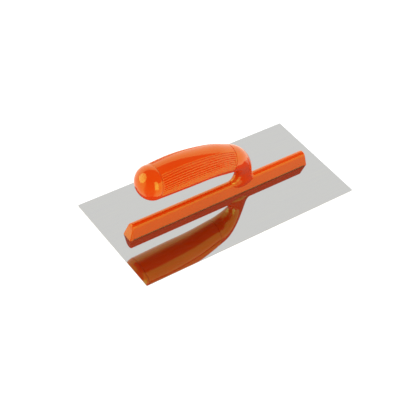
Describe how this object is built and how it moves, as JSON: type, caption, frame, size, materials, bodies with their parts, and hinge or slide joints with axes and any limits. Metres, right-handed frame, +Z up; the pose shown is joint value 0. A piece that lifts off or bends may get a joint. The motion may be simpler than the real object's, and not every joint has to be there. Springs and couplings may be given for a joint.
{
  "type": "steel finishing trowel",
  "caption": "Flat rectangular trowel blade under a slim stiffening rail, with a curved neck and a ribbed grip that lies over the rail; for smoothing mortar and concrete.",
  "frame": {"origin": "centre of the blade's flat underside, which is its working face", "axes": "+X along the blade from the grip's free end towards the neck, +Y across the blade, +Z up from the blade towards the handle"},
  "size_m": [0.28, 0.13, 0.0884],
  "materials": {
    "blade_steel": "cold rolled stainless sheet, bright and nearly mirror flat",
    "handle_plastic": "glossy orange moulded plastic",
    "strip_steel": "flat steel bar, dull plated",
    "tang_steel": "bright drawn mild steel",
    "fastener_steel": "zinc plated steel",
    "adhesive": "cured structural adhesive film"
  },
  "bodies": {
    "root": {"blade": "blade_steel", "adhesive_film": "adhesive", "backing_strip": "strip_steel", "foot_screws": "fastener_steel", "strip_screws": "fastener_steel", "tang_foot": "tang_steel", "tang": "tang_steel", "handle_body": "handle_plastic", "grip_sleeve": "handle_plastic", "grip_end_cap": "handle_plastic", "clamp_washer": "fastener_steel", "spring_washer": "fastener_steel", "tang_nut": "fastener_steel"}
  },
  "joints": []
}
